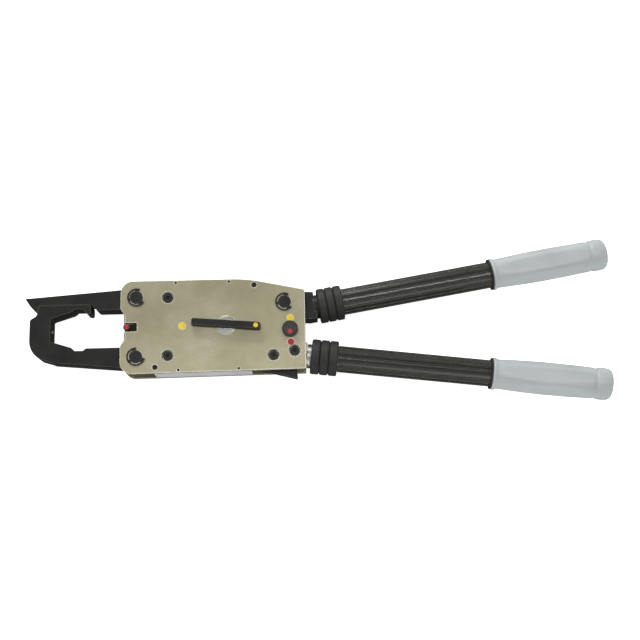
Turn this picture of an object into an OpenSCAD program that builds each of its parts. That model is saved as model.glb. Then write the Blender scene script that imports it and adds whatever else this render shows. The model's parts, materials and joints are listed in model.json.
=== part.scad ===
/* Two-handled ratchet crimping tool with an opening head.
   Millimetres. The origin is the mouth of the die bore on the ram's front face, at mid thickness.
   +X runs to the handles, +Y to the moving handle, +Z out of the front plate. */

/* [Side plates] */
// Thickness of each side plate
plate_t = 5; // [4.5:0.1:5.5]
// Height of the plates at the head end
plate_h = 101; // [100:0.5:102]

/* [Head] */
// Thickness of the latch and the lower jaw
head_t = 22; // [21:0.2:22.4]
// Distance from the ram's rest face to the fixed die seat
jaw_opening = 79; // [76:0.5:80]
// Diameter of the three main pins
pin_d = 14; // [13:0.2:14.4]

/* [Ram] */
// Diameter of the die shank bore
die_bore_d = 10; // [9:0.5:11]
// Depth of the die shank bore
die_bore_depth = 22; // [20:1:24]
// Travel of the ram for half a turn of the spiral disc
ram_stroke = 21; // [19:0.5:21]

/* [Drive] */
// Number of ratchet teeth
teeth = 36; // [30:2:40]
// Length of the advance lever
lever_len = 74; // [60:1:80]

/* [Handles] */
// Outer diameter of the fluted tubes
tube_d = 28.4; // [27:0.2:29]
// Length of the tubes
tube_len = 280; // [260:1:285]
// Number of flutes around a tube
flutes = 18; // [12:1:24]
// Length of the hand grips, without the domed end
grip_len = 124; // [115:1:126]

/* [Hidden] */
gap = 22.8;                  // between the plates' inner faces
zi = gap / 2;                // inner face of a plate
zo = zi + plate_t;           // outer face of a plate
ht = head_t / 2;
fit = 0.05;                  // radial clearance of a running fit
top = plate_h / 2;
pin_r = pin_d / 2;
eye_r = 11.5;
guide_y = 20.3;              // half height of the ram
seat_x = -jaw_opening;

latch_at = [14, 32.3];
jaw_at = [14, -32.3];
handle_at = [172.5, 24];
cam_at = [110, 0];
knob_at = [178, -6.5];
release_at = [150, -44.5];
drive_at = [153.1, 4.6];
upper_at = [235.2, 26];
lower_at = [228.5, -36.8];
upper_angle = 9.41;
lower_angle = -6.87;

screws = [[47.5, 31.7], [47.5, -31.7], [160, -33.5], [182.5, -29.2]];
dowels = [[140, 43.5], [34.3, -44.2]];
roll_pins = [[56, 47.8], [113, 47.8], [59, -47.6], [123, -47.2]];

yellow_marks_at = [[63, 0], [178.3, 6.2]];
red_mark_at = [178.6, -20];
lever_mark_x = 32;
knob_mark_y = -3.4;          // below the knob's centre

screw_r = 3;
screw_hole_r = 3.3;
sink_r = 5.8;                // counterbore of a cap screw
sink_depth = 3.6;
sink_rim = 0.9;              // chamfer around the counterbore
dowel_r = 3;
roll_r = 1.5;
shaft_r = 8;
boss_r = 10;
release_pin_r = 2.5;
knob_shaft_r = 3;
mark_r = 3.6;                // inlaid dots on the plate
dot_r = 2.5;                 // inlaid dots on the lever and the knob
inlay = 0.5;
stud_r = 2.5;                // stud between the camshaft and its lever

disc_z = 1;                  // underside of the spiral disc
disc_t = 4.2;
disc_r = 41;
groove_r = 3.9;              // half width of the spiral groove
groove_start = 14;
wheel_z = -5;                // underside of the ratchet wheel
wheel_t = 5.8;
wheel_r = 34;
tooth_h = 3;

lock_post_x = 3.8;           // centre of the die lock's post

steel = [0.66, 0.63, 0.53];
black = [0.13, 0.13, 0.13];
bright = [0.78, 0.77, 0.72];
grip_grey = [0.7, 0.72, 0.73];
red = [0.75, 0.1, 0.08];
yellow = [0.95, 0.78, 0.05];
$fn = 72;

// ---------------------------------------------------------------- shared shapes

// A cylinder between two heights at a plan position
module post(at, r, z0, z1) translate([at[0], at[1], z0]) cylinder(h = z1 - z0, r = r);

// A flat outline extruded between two heights
module slab(z0, z1) translate([0, 0, z0]) linear_extrude(z1 - z0) children();

// A rounded bar between two plan points
module link(a, b, r) {
    d = b - a;
    translate(a) circle(r);
    translate(b) circle(r);
    translate(a) rotate(atan2(d[1], d[0])) translate([0, -r]) square([norm(d), 2 * r]);
}

// Points of an arc about a centre, from angle a0 to a1
function arc(c, r, a0, a1, n = 8) =
    [for (i = [0 : n]) c + r * [cos(a0 + (a1 - a0) * i / n), sin(a0 + (a1 - a0) * i / n)]];

// A helical spring along +Z, as a swept round wire
module coil_spring(r, wire_r, height, turns, sides = 6, steps = 14) {
    n = turns * steps;
    function ring(i) = [for (k = [0 : sides - 1])
        let (a = 360 * i / steps, b = 360 * k / sides, q = r + wire_r * cos(b))
        [q * cos(a), q * sin(a), wire_r + (height - 2 * wire_r) * i / n + wire_r * sin(b)]];
    skin = [for (i = [0 : n - 1], k = [0 : sides - 1]) let (m = (k + 1) % sides)
        each [[i * sides + k, i * sides + m, (i + 1) * sides + m],
              [i * sides + k, (i + 1) * sides + m, (i + 1) * sides + k]]];
    ends = [[for (k = [sides - 1 : -1 : 0]) k], [for (k = [0 : sides - 1]) n * sides + k]];
    polyhedron([for (i = [0 : n]) each ring(i)], concat(skin, ends));
}

// Everything along a handle: its own X axis runs from the tube's inner end to the grip
module on_handle(at, angle) translate([at[0], at[1], 0]) rotate([0, 0, angle]) children();

// A shape turned about the handle's own axis, given as [distance along, radius] points
module turned(points) rotate([0, 90, 0]) rotate_extrude() polygon([for (p = points) [p[1], p[0]]]);

// ---------------------------------------------------------------- side plates

// Outline of both plates: rounded at the head, with a recess, and tapering at the handles
module plate_outline() {
    left = -3;
    corner = 13;
    slope = 11.5;
    bend = 160;
    bend_x = 115;
    polygon(concat(
        [[left, -20.5], [left + 5, -13], [left + 5, 13], [left, 20.5]],
        arc([left + corner, top - corner], corner, 180, 90, 12),
        arc([bend_x, top - bend], bend, 90, 90 - slope, 8),
        arc([192.2, 35.6], 2, 90 - slope, 0, 4),
        arc([193, -47.7], 1.2, 0, -90, 4),
        arc([left + corner, -top + corner], corner, 270, 180, 12)));
}

// Holes that both plates share
module plate_holes(z0, z1) {
    for (p = [latch_at, jaw_at, handle_at]) post(p, pin_r, z0, z1);
    for (p = dowels) post(p, dowel_r, z0, z1);
    for (p = roll_pins) post(p, roll_r, z0, z1);
}

module front_plate() color(steel) difference() {
    slab(zi, zo) difference() {
        plate_outline();
        translate([-5, -4.85]) square([19.8, 9.7]);
    }
    plate_holes(zi - 1, zo + 1);
    for (p = screws) {
        post(p, screw_hole_r, zi - 1, zo + 1);
        post(p, sink_r, zo - sink_depth, zo + 1);
        translate([p[0], p[1], zo - sink_rim]) cylinder(h = 2, r1 = sink_r, r2 = sink_r + 2);
    }
    post(cam_at, boss_r + fit, zi - 1, zo + 1);
    post(knob_at, knob_shaft_r + fit, zi - 1, zo + 1);
    post(release_at, release_pin_r, zi - 1, zi + 3);
    for (p = concat(yellow_marks_at, [red_mark_at])) post(p, mark_r, zo - inlay, zo + 1);
}
module yellow_marks() color(yellow) for (p = yellow_marks_at) post(p, mark_r, zo - inlay, zo);
module red_mark() color(red) post(red_mark_at, mark_r, zo - inlay, zo);

module rear_plate() color(steel) difference() {
    slab(-zo, -zi) plate_outline();
    plate_holes(-zo - 1, -zi + 1);
    for (p = screws) post(p, screw_r, -zo - 1, -zi + 1);
    post(cam_at, shaft_r + fit, -zo - 1, -zi + 1);
    post(release_at, release_pin_r, -zi - 3, -zi + 1);
}

// ---------------------------------------------------------------- between the plates

// A spacer bar whose outer face follows the plates' edge, 0.2 mm inside it
module spacer(outline) color([0.62, 0.63, 0.64]) difference() {
    slab(-zi, zi) polygon(outline);
    for (p = dowels) post(p, dowel_r, -zi - 1, zi + 1);
    for (p = roll_pins) post(p, roll_r, -zi - 1, zi + 1);
}
module top_spacer() spacer([[33, 45], [136, 45], [136, 48.9], [115, 50.3], [33, 50.3]]);
module bottom_spacer() spacer([[33, -45], [136, -45], [136, -49.2], [33, -50.1]]);

module guide(side) color(black) difference() {
    slab(-zi, zi) polygon([[29, side * (guide_y + 0.1)], [66, side * (guide_y + 0.1)],
        [66, side * 44.9], [29, side * 44.9]]);
    for (p = screws) post(p, screw_hole_r, -zi - 1, zi + 1);
    for (p = dowels) post(p, dowel_r, -zi - 1, zi + 1);
}
module upper_guide() guide(1);
module lower_guide() guide(-1);

// ---------------------------------------------------------------- head

seam_y = 27;
arm_y = 20.8;
// The C-shaped jaw: seat at the left, a thin hooked upper arm, and a deep lower arm to its pin
module lower_jaw() color(black) difference() {
    slab(-ht, ht) polygon(concat(
        [[-91.4, seam_y], [-92.5, 19.6], [-94.7, 15.3], [-99.6, 12.4]],
        arc([-99, 10], 2, 120, 180, 3),
        arc([-78, -11], 23, 180, 240, 8),
        arc([-73, -24], 11.8, 240, 264, 3),
        [[-8, -42], [12.8, -43.74], [28.9, -43.74], [28.9, -arm_y],
         [-40, -arm_y], [-43.5, -23.4], [-53.5, -23.4], [-56, -19.8],
         [seat_x + 1, -12.8], [seat_x, -12], [seat_x, 12], [seat_x + 1, 12.8],
         [-56, 19.8], [-53, 22.6], [-44.6, 22.6], [-40.3, 17.6], [-36.6, 17.2],
         [-35.8, 18.2], [-35.8, 26.2], [-36.6, seam_y]]));
    post(jaw_at, pin_r, -ht - 1, ht + 1);
    translate([seat_x + 1, 0, 0]) rotate([0, -90, 0]) cylinder(h = 12, r = 2.6);
}

// The latch: an eye at its pin, a straight bar and a nose that hooks over the jaw
module latch_bar() color(black) difference() {
    slab(-ht, ht) polygon(concat(
        [[-28.4, arm_y], [-30, 21.6], [-35.2, seam_y + 0.35],
         [-91.8, seam_y + 0.35], [-92.9, 20.2], [-95.6, 20.6], [-101.5, 27.2],
         [-106.7, 35.1], [-7.5, 42.2]],
        arc(latch_at, eye_r, 94, -90, 20)));
    post(latch_at, pin_r + fit, -ht - 1, ht + 1);
}

// A headed pin with a groove for its retaining ring at the front
module main_pin(at) color(black) translate([at[0], at[1], 0]) rotate_extrude() polygon([
    [0, -zo - 2.3], [9.4, -zo - 2.3], [10, -zo - 1.7], [10, -zo], [pin_r, -zo],
    [pin_r, zo + 0.05], [6.2, zo + 0.05], [6.2, zo + 1.35], [pin_r, zo + 1.35],
    [pin_r, zo + 1.5], [6.3, zo + 2.2], [0, zo + 2.2]]);
module latch_pin() main_pin(latch_at);
module jaw_pin() main_pin(jaw_at);
module handle_pin() main_pin(handle_at);

// Outline between two radii and two angles
module sector(r0, r1, a0, a1)
    polygon(concat(arc([0, 0], r1, a0, a1, 24), arc([0, 0], r0, a1, a0, 24)));

// Open retaining rings: an outer arc with three lugs that grip the pin's groove
module retaining_rings() color(black) for (ring = [[latch_at, 17], [jaw_at, 38], [handle_at, 12]])
    translate([ring[0][0], ring[0][1], zo + 0.1]) rotate(ring[1]) linear_extrude(1.2) {
        sector(8.3, 10, 50, 310);
        sector(6.25, 8.5, 50, 84);
        sector(6.25, 8.5, 168, 192);
        sector(6.25, 8.5, 276, 310);
    }

// ---------------------------------------------------------------- fasteners

module cap_screws() color(black) for (p = screws) difference() {
    union() {
        post(p, screw_r, -zo + 0.3, zo - sink_depth + 0.1);
        post(p, 5, zo - sink_depth, zo - 0.4);
    }
    translate([p[0], p[1], zo - 2.6]) cylinder(h = 3, r = 2.9, $fn = 6);
}
module dowel_pins() color(black) for (p = dowels) post(p, dowel_r, -zo, zo - 1.2);
module roll_pins() color(black) for (p = roll_pins) difference() {
    post(p, roll_r, -zo, zo - 1);
    post(p, 0.7, -zo - 1, zo + 1);
}

// ---------------------------------------------------------------- seat detent

module detent_ball() color(bright) translate([seat_x - 1.3, 0, 0]) sphere(2.5);
module detent_spring() color(bright) translate([seat_x - 3.9, 0, 0]) rotate([0, -90, 0])
    coil_spring(1.8, 0.35, 6.9, 6);

// ---------------------------------------------------------------- ram

tail_z = 5.6;
module ram() color([0.33, 0.33, 0.32]) difference() {
    union() {
        slab(-ht, ht) polygon([[1.5, -guide_y], [60, -guide_y], [60, guide_y], [1.5, guide_y],
            [0, guide_y - 1.5], [0, 1.5 - guide_y]]);
        slab(tail_z, ht) difference() {
            translate([59, -13]) square([87, 26]);
            link(cam_at, cam_at + [ram_stroke, 0], shaft_r + 0.3);
        }
    }
    rotate([0, 90, 0]) translate([0, 0, -1]) cylinder(h = die_bore_depth + 1, r = die_bore_d / 2);
    translate([-1, -4.6, 6.6]) cube([17, 9.2, 6]);
    post([lock_post_x, 0], 2, 0, 8);
    post(cam_at - [groove_start, 0], 2.5, tail_z - 1, ht + 1);
}

module follower_pin() color(bright) post(cam_at - [groove_start, 0], 2.5, 1.3, ht);
module follower_roller() color(bright) difference() {
    post(cam_at - [groove_start, 0], 3.7, 1.4, 5.3);
    post(cam_at - [groove_start, 0], 2.5, 0, 6);
}

// ---------------------------------------------------------------- die lock

// Slider with a locking plunger below and the post of the red button above
module die_lock_slider() color(black) union() {
    slab(8.9, 10.8) translate([0.8, -4.2]) square([13.8, 8.4]);
    post([lock_post_x, 0], 3.6, 10.7, zo + 0.4);
    post([lock_post_x, 0], 1.9, 5.1, 9);
}
module die_lock_cap() color(red) translate([lock_post_x, 0, zo + 0.4]) rotate_extrude()
    polygon(concat([[0, 0], [2.8, 0], [2.8, 0.6]], arc([1.4, 0.6], 1.4, 0, 90, 6), [[0, 2]]));
module die_lock_spring() color(bright) translate([lock_post_x + 6, 0, 6.6])
    coil_spring(1.7, 0.3, 2.3, 3);

// ---------------------------------------------------------------- drive

module camshaft() color(bright) translate([cam_at[0], cam_at[1], 0]) difference() {
    rotate_extrude() polygon([[0, -zo + 0.2], [shaft_r, -zo + 0.2], [shaft_r, zi + 0.2],
        [boss_r, zi + 0.2], [boss_r, zo + 0.6], [boss_r - 1.4, zo + 2], [0, zo + 2]]);
    translate([0, 0, zo - 6]) cylinder(h = 10, r = stud_r);
    translate([shaft_r - 1.6, -1.5, wheel_z]) cube([4, 3, 10.2]);
}

// Half width, along its radius, of a groove whose centre line is r = start + stroke * a / 180
function spiral(a, side) = let (r = groove_start + ram_stroke * a / 180,
    slope = ram_stroke / PI, n = norm([r, slope]), c = cos(180 - a), s = sin(180 - a))
    r * [c, s] + side * groove_r * [r * c - slope * s, r * s + slope * c] / n;

module spiral_disc() color([0.45, 0.45, 0.44]) translate([cam_at[0], cam_at[1], disc_z])
    difference() {
        cylinder(h = disc_t, r = disc_r);
        translate([0, 0, -1]) cylinder(h = disc_t + 2, r = shaft_r);
        translate([0, -1.5, -1]) cube([shaft_r + 1.7, 3, disc_t + 2]);
        translate([0, 0, -1]) linear_extrude(disc_t + 2) union() {
            polygon(concat([for (a = [0 : 6 : 180]) spiral(a, 1)],
                [for (a = [180 : -6 : 0]) spiral(a, -1)]));
            translate([-groove_start, 0]) circle(groove_r);
            translate([groove_start + ram_stroke, 0]) circle(groove_r);
        }
    }

// Saw teeth: steep on the clockwise side, so that a pawl drives the wheel anticlockwise
module ratchet_wheel() color([0.5, 0.5, 0.48]) translate([cam_at[0], cam_at[1], wheel_z])
    difference() {
        linear_extrude(wheel_t) polygon([for (i = [0 : teeth - 1]) let (a = 360 * i / teeth)
            each [wheel_r * [cos(a), sin(a)],
                  (wheel_r - tooth_h) * [cos(a - 0.5), sin(a - 0.5)]]]);
        translate([0, 0, -1]) cylinder(h = wheel_t + 2, r = shaft_r);
        translate([0, -1.5, -1]) cube([shaft_r + 1.7, 3, wheel_t + 2]);
    }
module disc_key() color(bright) translate([cam_at[0] + shaft_r - 1.6, -1.5, wheel_z])
    cube([3.2, 3, 10.2]);

// Clock spring that turns the shaft back: a flat strip from the shaft to its outer hook
spring_turns = 4.5;
module return_spring() color([0.35, 0.37, 0.42]) translate([cam_at[0], cam_at[1], -10.4])
    linear_extrude(3.8) polygon([for (side = [0, 1], i = [0 : 20 * spring_turns])
        let (k = side == 0 ? i : 20 * spring_turns - i, a = 18 * k,
             r = shaft_r + 0.1 + 13 * k / (20 * spring_turns) + side * 1.1)
        r * [cos(a), sin(a)]]);

// The advance lever lies over the shaft's end, a few degrees off the tool's axis
lever_z = zo + 2;
lever_t = 7.4;
module on_lever() translate([cam_at[0], cam_at[1], lever_z]) rotate([0, 0, -5]) children();
module advance_lever() color(black) on_lever() difference() {
    hull() for (x = [-1, 1], y = [-1.4, 1.4])
        translate([x * (lever_len / 2 - 2.6), y, 0])
            cylinder(h = x < 0 ? 6.6 : lever_t, r1 = 2.6, r2 = 2.1, $fn = 32);
    translate([0, 0, -1]) cylinder(h = 5, r = stud_r);
    translate([lever_mark_x, 0, lever_t - inlay - 0.1]) cylinder(h = 2, r = dot_r);
}
module lever_mark() color(yellow) on_lever() translate([lever_mark_x, 0, lever_t - inlay - 0.1])
    cylinder(h = inlay + 0.1, r = dot_r);
module lever_stud() color(black) post(cam_at, stud_r, zo - 5.6, lever_z + 3.8);

// ---------------------------------------------------------------- selector

knob_t = 7.4;
module selector_knob() color(black) translate([knob_at[0], knob_at[1], zo + 0.2]) difference() {
    rotate_extrude() polygon([[0, 0], [8, 0], [8.4, 0.6], [8.4, knob_t - 1.2],
        [7.3, knob_t], [0, knob_t]]);
    translate([0, 0, -1]) cylinder(h = 5, r = knob_shaft_r);
    translate([0, knob_mark_y, knob_t - inlay]) cylinder(h = 2, r = dot_r);
}
module knob_mark() color(red) translate([knob_at[0], knob_at[1] + knob_mark_y, zo + 0.2 + knob_t - inlay])
    cylinder(h = inlay, r = dot_r);
module selector_shaft() color(bright) difference() {
    union() {
        post(knob_at, knob_shaft_r, 5.7, zo + 4.2);
        slab(5.7, 8.4) link(knob_at, knob_at + [-5.2, 0], 2.6);
    }
    translate([knob_at[0], knob_at[1], 9.4]) difference() {
        cylinder(h = 1.1, r = 4);
        translate([0, 0, -1]) cylinder(h = 3, r = 2.4);
    }
}
module knob_circlip() color(bright) translate([knob_at[0], knob_at[1], 9.5])
    linear_extrude(0.9) difference() {
        circle(4.6);
        circle(2.45);
        translate([0, -1.6]) square([6, 3.2]);
    }

// ---------------------------------------------------------------- release lever (holding pawl)

module release_lever() color(black) difference() {
    union() {
        slab(-6, 6) difference() {
            union() {
                translate(release_at) circle(4.4);
                polygon([[148, -48.5], [157, -49.8], [168, -52.9], [184, -57.2], [185.2, -55.6],
                    [184.4, -47.6], [172, -46.2], [150, -40.2]]);
            }
            for (i = [0 : 6]) translate([168.6 + 2.3 * i, -53.45 - 0.62 * i]) circle(0.62, $fn = 16);
        }
        slab(-4.9, 0.6) {
            link(release_at, [131, -36.6], 2.6);
            polygon([[131, -38], [124.6, -31.6], [128.2, -32.5], [134.6, -35.4]]);
        }
    }
    post(release_at, release_pin_r + fit, -7, 7);
}
module release_pin() color(bright) post(release_at, release_pin_r, -zi - 2.8, zi + 2.8);
module release_spring() color(bright) post_ring(release_at, 3.1, 4.1, -10.6, -6.2);

// A wound spring body around a pin, as a plain tube
module post_ring(at, r0, r1, z0, z1) difference() {
    post(at, r1, z0, z1);
    post(at, r0, z0 - 1, z1 + 1);
}

// ---------------------------------------------------------------- drive pawl

pawl_spring_z = -8.4;        // floor of the spring's recess in the moving root's arm
module drive_pawl() color([0.4, 0.4, 0.4]) difference() {
    slab(-4.8, 0.4) union() {
        translate(drive_at) circle(4.4);
        polygon([[149.6, 1.8], [156, 8], [147.2, 14.4], [144.7, 15.2], [144.9, 13]]);
    }
    post(drive_at, 2 + fit, -6, 2);
}
module drive_pawl_pin() color(bright) post(drive_at, 2, -10.9, 0.7);
module pawl_spring() color(bright) post_ring(drive_at, 3, 4, pawl_spring_z, -5.5);

// ---------------------------------------------------------------- handles

spigot_r = 11.6;
boot_end = -0.2;
// Three flat rubber rings, moulded as one boot around the handle's root
module ring_boot(pitch) color(black) turned(concat(
    [[boot_end - 3 * pitch, 13]],
    [for (k = [3 : -1 : 1], corner = [0, 1])
        each arc([boot_end - (k - corner) * pitch + (corner == 0 ? 2.1 : -2.1), 16.8], 2,
            180 - 90 * corner, 90 - 90 * corner, 5)],
    [[boot_end, 13]]));

// Fluted tube: shallow grooves with broad lands between them
module tube() color([0.15, 0.15, 0.13]) rotate([0, 90, 0]) linear_extrude(tube_len) difference() {
    circle(tube_d / 2);
    for (a = [0 : 360 / flutes : 359]) rotate(a) translate([tube_d / 2 + 0.35, 0])
        circle(1.05, $fn = 16);
    circle(tube_d / 2 - 2.4);
}

// Hand grip: flanged mouth, slim neck, full belly, and a bead before the domed end
grip_start = 165;
module grip() color(grip_grey) translate([grip_start, 0, 0]) turned(concat(
    [[0, tube_d / 2], [0, 16.6], [0.8, 17.5], [3.4, 17.7], [4.8, 16.6]],
    [for (i = [0 : 12]) [6 + 102 * i / 12, 16.3 + 1.8 * sin(180 * pow(i / 12, 0.8))]],
    [[112, 16.7], [114.5, 17.6], [117, 17.9]],
    [for (a = [0 : 10 : 90]) [grip_len - 6 + 12 * sin(a) * 0.95, 17.6 * pow(cos(a), 0.5)]],
    [[tube_len - grip_start + 0.2, 0], [tube_len - grip_start + 0.2, tube_d / 2]]));

// Rubber collar that seals the grip's mouth
module collar() color(black) translate([grip_start - 2, 0, 0]) turned([[0, tube_d / 2],
    [0, 16], [0.5, 17], [1.4, 17], [1.9, 16], [1.9, tube_d / 2]]);

// Headed rivet, set into the tube from behind, that holds it on the spigot
rivet_at = 14;
module rivet() color(black) translate([rivet_at, 0, -14.6]) union() {
    cylinder(h = 18, r = 2);
    cylinder(h = 1.2, r = 3.4);
}
module rivet_hole() translate([rivet_at, 0, -20]) union() {
    cylinder(h = 24, r = 2);
    cylinder(h = 6.6, r = 3.4);
}

module upper_grip() on_handle(upper_at, upper_angle) grip();
module upper_collar() on_handle(upper_at, upper_angle) collar();
module upper_tube() on_handle(upper_at, upper_angle) difference() {
    tube();
    rivet_hole();
}
module upper_rings() on_handle(upper_at, upper_angle) ring_boot(8.9);
module upper_rivet() on_handle(upper_at, upper_angle) rivet();
module lower_grip() on_handle(lower_at, lower_angle) grip();
module lower_collar() on_handle(lower_at, lower_angle) collar();
module lower_tube() on_handle(lower_at, lower_angle) difference() {
    tube();
    rivet_hole();
}
module lower_rings() on_handle(lower_at, lower_angle) ring_boot(9.6);
module lower_rivet() on_handle(lower_at, lower_angle) rivet();

// Moving root: a block with the pivot eye, a round shank, and an inner arm to the drive pawl
module upper_root() color(black) difference() {
    union() {
        slab(-ht, ht) translate(handle_at) rotate(upper_angle) polygon(concat(
            arc([0, 0], 13, 86, 262, 24),
            [[16, -21], [24, -22.7], [32, -22.7], [32, 6.3], [20, 8.8]]));
        slab(-ht, -5.4) translate(drive_at) rotate(45) polygon(concat(
            arc([0, 0], 5.4, 90, 270, 12), [[20, -5.4], [20, 5.4]]));
        on_handle(upper_at, upper_angle) turned([[-32, 0], [-32, 12.9], [0, 12.9], [0, spigot_r],
            [40, spigot_r], [41, 10.6], [41, 0]]);
    }
    post(handle_at, pin_r + fit, -ht - 1, ht + 1);
    post(drive_at, 2, -ht - 1, 0);
    post(drive_at, 4.3, pawl_spring_z - 0.1, 0);
    on_handle(upper_at, upper_angle) rivet_hole();
}

// Fixed root: a tongue held by two cap screws, and a round shank
module lower_root() color([0.5, 0.5, 0.47]) difference() {
    union() {
        slab(-zi, zi) polygon([[152, -39.2], [152, -26], [158, -20.4], [188, -18.8],
            [196.5, -20.2], [197.5, -44.3], [186, -42.6], [170, -41.4]]);
        on_handle(lower_at, lower_angle)
            turned([[-36, 0], [-36, 10.6], [-34, 11.2], [-33, 12.9], [0, 12.9], [0, spigot_r], [40, spigot_r],
                [41, 10.6], [41, 0]]);
    }
    for (p = screws) post(p, screw_hole_r, -zi - 1, zi + 1);
    on_handle(lower_at, lower_angle) rivet_hole();
}

front_plate();
rear_plate();
top_spacer();
bottom_spacer();
upper_guide();
lower_guide();
lower_jaw();
latch_bar();
latch_pin();
jaw_pin();
handle_pin();
retaining_rings();
cap_screws();
dowel_pins();
roll_pins();
detent_ball();
detent_spring();
ram();
follower_pin();
follower_roller();
die_lock_slider();
die_lock_cap();
die_lock_spring();
camshaft();
spiral_disc();
ratchet_wheel();
disc_key();
return_spring();
advance_lever();
lever_stud();
selector_knob();
selector_shaft();
knob_circlip();
release_lever();
release_pin();
release_spring();
drive_pawl();
drive_pawl_pin();
pawl_spring();
upper_root();
upper_rings();
upper_tube();
upper_collar();
upper_grip();
lower_root();
lower_rings();
lower_tube();
lower_collar();
lower_grip();
upper_rivet();
lower_rivet();
yellow_marks();
red_mark();
lever_mark();
knob_mark();
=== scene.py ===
"""Looks of the two-handled crimping tool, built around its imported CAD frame. Metres throughout."""
import json
import math

import bmesh
import bpy
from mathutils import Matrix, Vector


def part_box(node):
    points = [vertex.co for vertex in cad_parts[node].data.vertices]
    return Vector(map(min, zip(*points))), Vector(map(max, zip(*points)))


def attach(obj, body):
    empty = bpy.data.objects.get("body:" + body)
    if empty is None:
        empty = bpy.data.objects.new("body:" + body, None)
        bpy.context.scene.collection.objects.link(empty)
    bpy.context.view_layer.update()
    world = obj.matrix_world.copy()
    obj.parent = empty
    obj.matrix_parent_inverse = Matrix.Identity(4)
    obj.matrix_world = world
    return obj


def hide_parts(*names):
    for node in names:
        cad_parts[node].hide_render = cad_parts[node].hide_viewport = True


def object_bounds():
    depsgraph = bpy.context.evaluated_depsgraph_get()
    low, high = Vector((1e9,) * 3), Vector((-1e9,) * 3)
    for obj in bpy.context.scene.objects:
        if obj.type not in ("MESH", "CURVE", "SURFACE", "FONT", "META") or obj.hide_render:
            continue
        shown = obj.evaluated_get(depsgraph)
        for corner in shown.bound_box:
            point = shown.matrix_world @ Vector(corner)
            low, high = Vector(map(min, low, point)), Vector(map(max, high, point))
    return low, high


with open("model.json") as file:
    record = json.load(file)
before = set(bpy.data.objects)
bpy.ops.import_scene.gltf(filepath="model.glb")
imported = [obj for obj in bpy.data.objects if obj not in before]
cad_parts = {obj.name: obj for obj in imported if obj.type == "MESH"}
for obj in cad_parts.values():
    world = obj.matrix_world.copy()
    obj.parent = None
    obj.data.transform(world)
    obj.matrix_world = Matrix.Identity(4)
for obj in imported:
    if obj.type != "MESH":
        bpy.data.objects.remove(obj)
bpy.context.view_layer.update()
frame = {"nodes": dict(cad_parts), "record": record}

MM = 0.001


# ---------------------------------------------------------------- node helpers

# How far a rounded normal may lean from the true one, as their dot product: below the first
# value an edge takes its full edge colour, part wear and part painted highlight, above the second
# none
EDGE_FULL_DOT, EDGE_CLEAR_DOT = 0.88, 0.99


def fill_ramp(color_ramp, stops):
    """Sets a ramp's stops, (position, colour) pairs, where a grey is a single number."""
    points = color_ramp.elements
    while len(points) < len(stops):
        points.new(0.5)
    for point, (position, colour) in zip(points, stops):
        if not isinstance(colour, tuple):
            colour = (colour, colour, colour)
        point.position = position
        point.color = (*colour, 1.0)


class Shader:
    """A material's node tree, with short calls for the nodes used here."""

    def __init__(self, name):
        self.material = bpy.data.materials.new(name)
        self.material.use_nodes = True
        self.tree = self.material.node_tree
        self.bsdf = self.tree.nodes["Principled BSDF"]
        self.place = self.tree.nodes.new("ShaderNodeTexCoord").outputs["Object"]

    def node(self, kind, **values):
        made = self.tree.nodes.new(kind)
        for key, value in values.items():
            setattr(made, key, value)
        return made

    def link(self, source, target):
        self.tree.links.new(source, target)

    def scaled(self, scale):
        """The object's coordinates, stretched by scale."""
        mapping = self.node("ShaderNodeMapping")
        mapping.inputs["Scale"].default_value = scale
        self.link(self.place, mapping.inputs["Vector"])
        return mapping.outputs["Vector"]

    def noise(self, vector, scale, detail=4.0, rough=0.55):
        made = self.node("ShaderNodeTexNoise")
        made.inputs["Scale"].default_value = scale
        made.inputs["Detail"].default_value = detail
        made.inputs["Roughness"].default_value = rough
        self.link(vector, made.inputs["Vector"])
        return made.outputs["Fac"]

    def ramp(self, factor, stops):
        made = self.node("ShaderNodeValToRGB")
        fill_ramp(made.color_ramp, stops)
        self.link(factor, made.inputs["Fac"])
        return made.outputs["Color"]

    def mix(self, factor, first, second):
        """first where factor is 0 and second where it is 1."""
        made = self.node("ShaderNodeMix", data_type="RGBA")
        for value, socket in ((factor, made.inputs["Factor"]), (first, made.inputs[6]),
                              (second, made.inputs[7])):
            if isinstance(value, tuple):
                socket.default_value = (*value, 1.0)
            elif isinstance(value, float):
                socket.default_value = value
            else:
                self.link(value, socket)
        return made.outputs[2]

    def worn_and_highlit_edges(self, radius=1.0 * MM):
        """1 along edges and 0 elsewhere: how far a rounded normal is from the true one. Masks wear
        and painted highlights along edges.
        """
        bevel = self.node("ShaderNodeBevel", samples=4)
        bevel.inputs["Radius"].default_value = radius
        geometry = self.node("ShaderNodeNewGeometry")
        dot = self.node("ShaderNodeVectorMath", operation="DOT_PRODUCT")
        self.link(bevel.outputs["Normal"], dot.inputs[0])
        self.link(geometry.outputs["Normal"], dot.inputs[1])
        return self.ramp(dot.outputs["Value"], [(EDGE_FULL_DOT, 1.0), (EDGE_CLEAR_DOT, 0.0)])

    def colour(self, value):
        self.link(value, self.bsdf.inputs["Base Color"])

    def roughness(self, value):
        self.link(value, self.bsdf.inputs["Roughness"])

    def bump(self, height, strength, distance):
        made = self.node("ShaderNodeBump")
        made.inputs["Strength"].default_value = strength
        made.inputs["Distance"].default_value = distance
        self.link(height, made.inputs["Height"])
        self.link(made.outputs["Normal"], self.bsdf.inputs["Normal"])

    def set(self, **values):
        for key, value in values.items():
            self.bsdf.inputs[key.replace("_", " ")].default_value = value


# ---------------------------------------------------------------- materials

GRAIN_DEPTH = 0.2 * MM
FINE_GRAIN_DEPTH = 0.1 * MM


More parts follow.
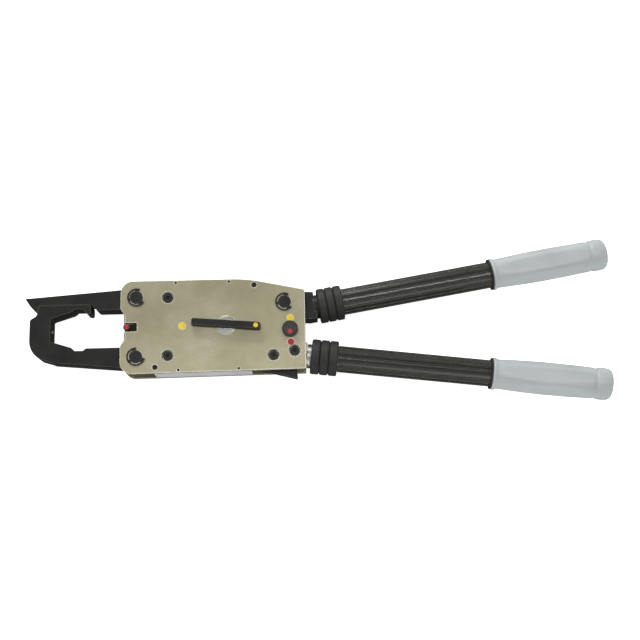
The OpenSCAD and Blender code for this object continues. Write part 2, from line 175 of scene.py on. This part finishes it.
def metal(name, dark, light, rough, metallic=1.0):
    """Ground or plated metal: cloudy colour, fine grain along X, and brighter edges that are partly
    wear and partly a painted highlight.
    """
    s = Shader(name)
    s.set(Metallic=metallic)
    clouds = s.noise(s.place, 26.0, 5.0)
    fine = s.noise(s.scaled((6, 90, 90)), 14.0, 6.0, 0.7)
    base = s.ramp(clouds, [(0.3, dark), (0.72, light)])
    # Edge colour: the light colour raised towards white, a painted highlight over a little wear
    bright = tuple(min(1.0, c * 1.25 + 0.06) for c in light)
    s.colour(s.mix(s.worn_and_highlit_edges(), base, bright))
    s.roughness(s.ramp(fine, [(0.2, rough - 0.06), (0.8, rough + 0.08)]))
    s.bump(fine, 0.12, GRAIN_DEPTH)
    return s.material


def plate_nickel():
    """The plates' satin nickel: warm grey with faint stains and fine rolling marks, and near-white
    painted highlights along the edges over a little wear.
    """
    s = Shader("satin_nickel")
    s.set(Metallic=0.55)
    stains = s.noise(s.place, 17.0, 6.0, 0.62)
    flecks = s.noise(s.place, 420.0, 3.0, 0.6)
    rolled = s.noise(s.scaled((5, 120, 40)), 12.0, 5.0, 0.7)
    base = s.ramp(stains, [(0.28, (0.27, 0.25, 0.15)), (0.5, (0.345, 0.32, 0.205)),
                           (0.75, (0.44, 0.41, 0.285))])
    speckled = s.mix(s.ramp(flecks, [(0.3, 0.35), (0.55, 0.0)]), base, (0.30, 0.28, 0.19))
    # Near-white edges: painted highlight, with a little wear
    s.colour(s.mix(s.worn_and_highlit_edges(1.4 * MM), speckled, (0.98, 0.97, 0.90)))
    s.roughness(s.ramp(rolled, [(0.25, 0.34), (0.8, 0.5)]))
    s.bump(rolled, 0.08, GRAIN_DEPTH)
    return s.material


def black_steel():
    """Blackened steel: near black, a little mottled, with grey edges, partly rubbed wear and partly
    painted highlight.
    """
    s = Shader("black_steel")
    s.set(Specular_IOR_Level=0.22)
    clouds = s.noise(s.place, 45.0, 6.0, 0.65)
    grain = s.noise(s.scaled((40, 140, 140)), 10.0, 5.0, 0.7)
    base = s.ramp(clouds, [(0.3, (0.009, 0.009, 0.0085)), (0.7, (0.021, 0.021, 0.020))])
    # Grey edges: painted highlight over some rubbing
    s.colour(s.mix(s.worn_and_highlit_edges(), base, (0.11, 0.109, 0.10)))
    s.roughness(s.ramp(grain, [(0.25, 0.36), (0.75, 0.52)]))
    s.bump(grain, 0.16, GRAIN_DEPTH)
    return s.material


def rubber():
    """Moulded rubber: matt black with a soft grey bloom."""
    s = Shader("black_rubber")
    s.set(Specular_IOR_Level=0.38)
    bloom = s.noise(s.place, 60.0, 6.0, 0.7)
    pores = s.noise(s.place, 900.0, 2.0)
    s.colour(s.ramp(bloom, [(0.3, (0.016, 0.016, 0.0155)), (0.75, (0.034, 0.034, 0.032))]))
    s.roughness(s.ramp(bloom, [(0.3, 0.5), (0.7, 0.66)]))
    s.bump(pores, 0.2, GRAIN_DEPTH)
    return s.material


def fluted_black():
    """Black coated tube: olive cast, with streaks along the flutes and olive edges on the lands,
    partly rubbed wear and partly painted highlight.
    """
    s = Shader("fluted_black")
    s.set(Specular_IOR_Level=0.6)
    streaks = s.noise(s.scaled((8, 160, 160)), 6.0, 5.0, 0.6)
    base = s.ramp(streaks, [(0.3, (0.007, 0.007, 0.0055)), (0.75, (0.016, 0.0158, 0.012))])
    # Olive edges on the lands: painted highlight, partly rubbing
    s.colour(s.mix(s.worn_and_highlit_edges(0.8 * MM), base, (0.12, 0.115, 0.085)))
    s.roughness(s.ramp(streaks, [(0.2, 0.14), (0.8, 0.24)]))
    s.bump(streaks, 0.12, GRAIN_DEPTH)
    return s.material


def grip_plastic():
    """Soft grey plastic: a fine grain, faint dirt in patches, and a slight sheen."""
    s = Shader("grip_plastic")
    s.set(Specular_IOR_Level=0.5, Coat_Weight=0.15, Coat_Roughness=0.25)
    patches = s.noise(s.place, 30.0, 5.0, 0.6)
    grain = s.noise(s.place, 1400.0, 2.0)
    s.colour(s.ramp(patches, [(0.3, (0.43, 0.46, 0.46)), (0.7, (0.49, 0.52, 0.52))]))
    s.roughness(s.ramp(patches, [(0.3, 0.34), (0.7, 0.46)]))
    s.bump(grain, 0.15, FINE_GRAIN_DEPTH)
    return s.material


def plastic(name, dark, light, rough):
    """Small moulded parts: even colour with a slight mottle."""
    s = Shader(name)
    s.set(Specular_IOR_Level=0.35)
    mottle = s.noise(s.place, 240.0, 4.0)
    s.colour(s.ramp(mottle, [(0.3, dark), (0.7, light)]))
    s.roughness(s.ramp(mottle, [(0.3, rough - 0.05), (0.7, rough + 0.06)]))
    s.bump(mottle, 0.1, FINE_GRAIN_DEPTH)
    return s.material


MATERIALS = {
    "nickel_plate": plate_nickel(),
    "black_steel": black_steel(),
    "tool_steel": metal("tool_steel", (0.20, 0.20, 0.195), (0.30, 0.30, 0.29), 0.4),
    "bright_steel": metal("bright_steel", (0.50, 0.49, 0.46), (0.64, 0.63, 0.59), 0.2),
    "grey_steel": metal("grey_steel", (0.36, 0.36, 0.33), (0.47, 0.47, 0.43), 0.38),
    "spacer_metal": metal("spacer_metal", (0.50, 0.51, 0.54), (0.62, 0.63, 0.66), 0.42,
                          metallic=0.15),
    "black_rubber": rubber(),
    "tube_black": fluted_black(),
    "grip_grey": grip_plastic(),
    "knob_black": plastic("knob_black", (0.02, 0.02, 0.02), (0.04, 0.04, 0.038), 0.4),
    "red_plastic": plastic("red_plastic", (0.42, 0.02, 0.015), (0.58, 0.035, 0.03), 0.32),
    "yellow_plastic": plastic("yellow_plastic", (0.78, 0.52, 0.01), (0.9, 0.66, 0.02), 0.35),
}


# ---------------------------------------------------------------- CAD nodes

SMOOTH_ANGLE = math.radians(32)
# Edge rounding of the visible CAD nodes, in millimetres
EDGES = {
    "front_plate": 0.8, "rear_plate": 0.8, "lower_jaw": 0.5, "latch_bar": 0.5, "ram": 0.4,
    "top_spacer": 0.3, "bottom_spacer": 0.3, "advance_lever": 0.5, "release_lever": 0.35,
    "selector_knob": 0.45, "upper_root": 0.5, "lower_root": 0.5, "retaining_rings": 0.25,
    "cap_screws": 0.3, "die_lock_slider": 0.25, "camshaft": 0.3,
}


def finish_node(name, node, slot_name):
    """Gives a CAD node its material, rounded edges where faces meet at more than SMOOTH_ANGLE, and
    face-weighted normals.
    """
    node.data.materials.clear()
    node.data.materials.append(MATERIALS[slot_name])
    if name in EDGES:
        bevel = node.modifiers.new("rounded_edges", "BEVEL")
        bevel.width = EDGES[name] * MM
        bevel.segments = 3
        bevel.limit_method = "ANGLE"
        bevel.angle_limit = SMOOTH_ANGLE
    even = node.modifiers.new("even_normals", "WEIGHTED_NORMAL")
    even.keep_sharp = False
    even.weight = 100


slots = {part["node"]: part["material_slot"] for part in frame["record"]["subparts"]}
for node_name, node_object in frame["nodes"].items():
    finish_node(node_name, node_object, slots[node_name])


# ---------------------------------------------------------------- shared mesh code

def new_piece(name, verts, faces, body, slot_name):
    """A smooth mesh piece that rides on a body and takes a slot's material."""
    mesh = bpy.data.meshes.new(name)
    mesh.from_pydata(verts, [], faces)
    build = bmesh.new()
    build.from_mesh(mesh)
    bmesh.ops.recalc_face_normals(build, faces=build.faces)
    build.to_mesh(mesh)
    build.free()
    mesh.polygons.foreach_set("use_smooth", [True] * len(mesh.polygons))
    mesh.materials.append(MATERIALS[slot_name])
    piece = bpy.data.objects.new(name, mesh)
    bpy.context.scene.collection.objects.link(piece)
    smooth = piece.modifiers.new("smooth", "SUBSURF")
    smooth.levels = 1
    smooth.render_levels = 1
    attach(piece, body)
    return piece


def loft(rings):
    """Points and faces of a closed skin through rings with as many points each."""
    count = len(rings[0])
    verts = [p for ring in rings for p in ring]
    faces = []
    for i in range(len(rings) - 1):
        for k in range(count):
            m = (k + 1) % count
            faces.append((i * count + k, i * count + m, (i + 1) * count + m, (i + 1) * count + k))
    faces.append(tuple(reversed(range(count))))
    faces.append(tuple((len(rings) - 1) * count + k for k in range(count)))
    return verts, faces


# ---------------------------------------------------------------- hand grips

# Millimetres, along and around a handle's axis
TUBE_RADIUS = 14.2
MOUTH_RADIUS = 14.3          # inside the grip's mouth, just clear of the tube
GRIP_START = 165             # from the start of the tube
GRIP_SIDES = 64
BELLY_STEPS = 14
DOME_START = 122.3


def handle_axis(tube_name, slope_deg):
    """The start of a handle's axis and its direction, from its tube's box."""
    low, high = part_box(tube_name)
    slope = math.radians(slope_deg)
    along = Vector((math.cos(slope), math.sin(slope), 0))
    # A tilted cylinder of radius r reaches r * |sin| past its axis's end in X
    reach = TUBE_RADIUS * MM * abs(math.sin(slope))
    rise = TUBE_RADIUS * MM * math.cos(slope)
    start_y = low[1] + rise if slope > 0 else high[1] - rise
    return Vector((low[0] + reach, start_y, 0)), along


def grip_rings(start, along):
    """Cross sections of a grip: flanged mouth, neck, six-sided belly, groove and domed end."""
    across = Vector((-along.y, along.x, 0))
    up = Vector((0, 0, 1))
    # Distance from the mouth, radius at the ridges, and depth of the flats, in millimetres
    profile = [(0, MOUTH_RADIUS, 0), (0.0, 15.6, 0), (0.2, 16.8, 0), (1.0, 17.4, 0),
               (2.6, 17.5, 0), (3.8, 16.9, 0), (4.8, 16.1, 0), (6.5, 15.9, 0.1)]
    for i in range(BELLY_STEPS + 1):
        t = i / BELLY_STEPS
        profile.append((9 + 97 * t, 16.1 + 1.9 * math.sin(math.pi * t ** 0.85 * 0.86),
                        0.15 + 1.75 * math.sin(math.pi * t) ** 0.7))
    profile += [(107.8, 16.6, 0.1), (109.0, 15.9, 0), (110.2, 15.8, 0), (110.9, 16.3, 0),
                (111.6, 16.9, 0), (113.0, 17.1, 0), (117.5, 17.3, 0), (120.0, 17.3, 0),
                (120.9, 17.0, 0), (121.6, 16.9, 0), (DOME_START, 17.0, 0)]
    for degrees in (15, 30, 45, 58, 70, 80, 87):
        a = math.radians(degrees)
        profile.append((DOME_START + 6.6 * math.sin(a), 17.0 * math.cos(a) ** 0.55, 0))
    profile.append((128.95, 1.2, 0))
    rings = []
    for distance, radius, flat in profile:
        centre = start + along * (distance * MM)
        ring = []
        for k in range(GRIP_SIDES):
            a = 2 * math.pi * k / GRIP_SIDES
            # The flats face up and down; a power sharpens the ridges between them
            r = (radius - flat * (0.5 - 0.5 * math.cos(6 * a)) ** 0.6) * MM
            ring.append(centre + (across * math.cos(a) + up * math.sin(a)) * r)
        rings.append(ring)
    return rings


def hand_grip(side, body, slope_deg):
    """Replaces a plain CAD grip by its moulded shape."""
    start, along = handle_axis(f"{side}_tube", slope_deg)
    mouth = start + along * (GRIP_START * MM)
    verts, faces = loft(grip_rings(mouth, along))
    piece = new_piece(f"{side}_moulded_grip", verts, faces, body, "grip_grey")
    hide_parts(f"{side}_grip")


hand_grip("upper", "upper_handle", slope_deg=9.41)
hand_grip("lower", "frame", slope_deg=-6.87)


# ---------------------------------------------------------------- stage

FLOOR_HALF = 6.0
FLOOR_GAP = 0.2 * MM         # below the lowest point of the tool


def pale_floor():
    """Plain pale floor with an almost invisible mottle, and a little light of its own
    that keeps it white around the tool."""
    s = Shader("pale_floor")
    s.set(Specular_IOR_Level=0.1, Emission_Color=(1, 1, 1, 1), Emission_Strength=0.85)
    mottle = s.noise(s.place, 3.0)
    s.colour(s.ramp(mottle, [(0.3, (0.93, 0.93, 0.93)), (0.7, (0.95, 0.95, 0.95))]))
    s.roughness(s.ramp(mottle, [(0.3, 0.85), (0.7, 0.9)]))
    return s.material


def make_floor():
    half = FLOOR_HALF
    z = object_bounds()[0][2] - FLOOR_GAP
    mesh = bpy.data.meshes.new("floor")
    mesh.from_pydata([(-half, -half, z), (half, -half, z), (half, half, z), (-half, half, z)],
                     [], [(0, 1, 2, 3)])
    mesh.materials.append(pale_floor())
    floor = bpy.data.objects.new("floor", mesh)
    floor.visible_glossy = False
    bpy.context.scene.collection.objects.link(floor)


def add_light(name, place, target, size, watts):
    data = bpy.data.lights.new(name, "AREA")
    data.shape = "RECTANGLE"
    data.size, data.size_y = size
    data.energy = watts
    light = bpy.data.objects.new(name, data)
    light.location = place
    light.rotation_euler = (Vector(target) - Vector(place)).to_track_quat("-Z", "Y").to_euler()
    bpy.context.scene.collection.objects.link(light)


def make_world():
    world = bpy.data.worlds.new("studio")
    world.use_nodes = True
    tree = world.node_tree
    # Brightest near the horizon, softer overhead, and dark straight down, which only the
    # undersides and the walls reflect
    height = tree.nodes.new("ShaderNodeSeparateXYZ")
    share = tree.nodes.new("ShaderNodeMapRange")
    share.inputs["From Min"].default_value = -1.0
    place = tree.nodes.new("ShaderNodeTexCoord")
    sky = tree.nodes.new("ShaderNodeValToRGB")
    fill_ramp(sky.color_ramp, [(0.2, 0.1), (0.34, 1.0), (0.72, 1.0), (0.95, 0.55)])
    background = tree.nodes["Background"]
    tree.links.new(place.outputs["Generated"], height.inputs["Vector"])
    tree.links.new(height.outputs["Z"], share.inputs["Value"])
    tree.links.new(share.outputs["Result"], sky.inputs["Fac"])
    tree.links.new(sky.outputs["Color"], background.inputs["Color"])
    background.inputs["Strength"].default_value = 0.6
    bpy.context.scene.world = world


def make_lights():
    middle = (0.2, 0, 0)
    add_light("key_upper_left", (-0.2, 1.3, 0.8), middle, (0.9, 0.3), 13)
    add_light("fill_front", (0.5, -1.2, 1.0), middle, (1.0, 0.4), 2)
    add_light("handle_strip", (0.35, 0.02, 1.15), (0.35, 0, 0), (1.3, 0.02), 3.6)


# The camera looks down from the front of the tool, 13 degrees off the vertical
CAMERA_ELEVATION = 77
CAMERA_DISTANCE = 1.18
CAMERA_TURN = -1.4           # about Z, so that the tool lies slightly turned in the frame
CAMERA_TARGET = Vector((0.2102, 0.0067, 0))
CAMERA_LENS = 61.3
SENSOR = 36


def make_camera():
    data = bpy.data.cameras.new("camera")
    data.lens = CAMERA_LENS
    data.sensor_width = SENSOR
    data.clip_end = 30
    camera = bpy.data.objects.new("camera", data)
    elevation = math.radians(CAMERA_ELEVATION)
    turn = math.radians(CAMERA_TURN)
    back = Vector((math.sin(turn) * math.cos(elevation), -math.cos(turn) * math.cos(elevation),
                   math.sin(elevation)))
    camera.location = CAMERA_TARGET + back * CAMERA_DISTANCE
    camera.rotation_euler = (math.radians(90) - elevation, 0, turn)
    bpy.context.scene.collection.objects.link(camera)
    bpy.context.scene.camera = camera


make_floor()
make_world()
make_lights()
make_camera()
bpy.context.scene.view_settings.view_transform = "Standard"
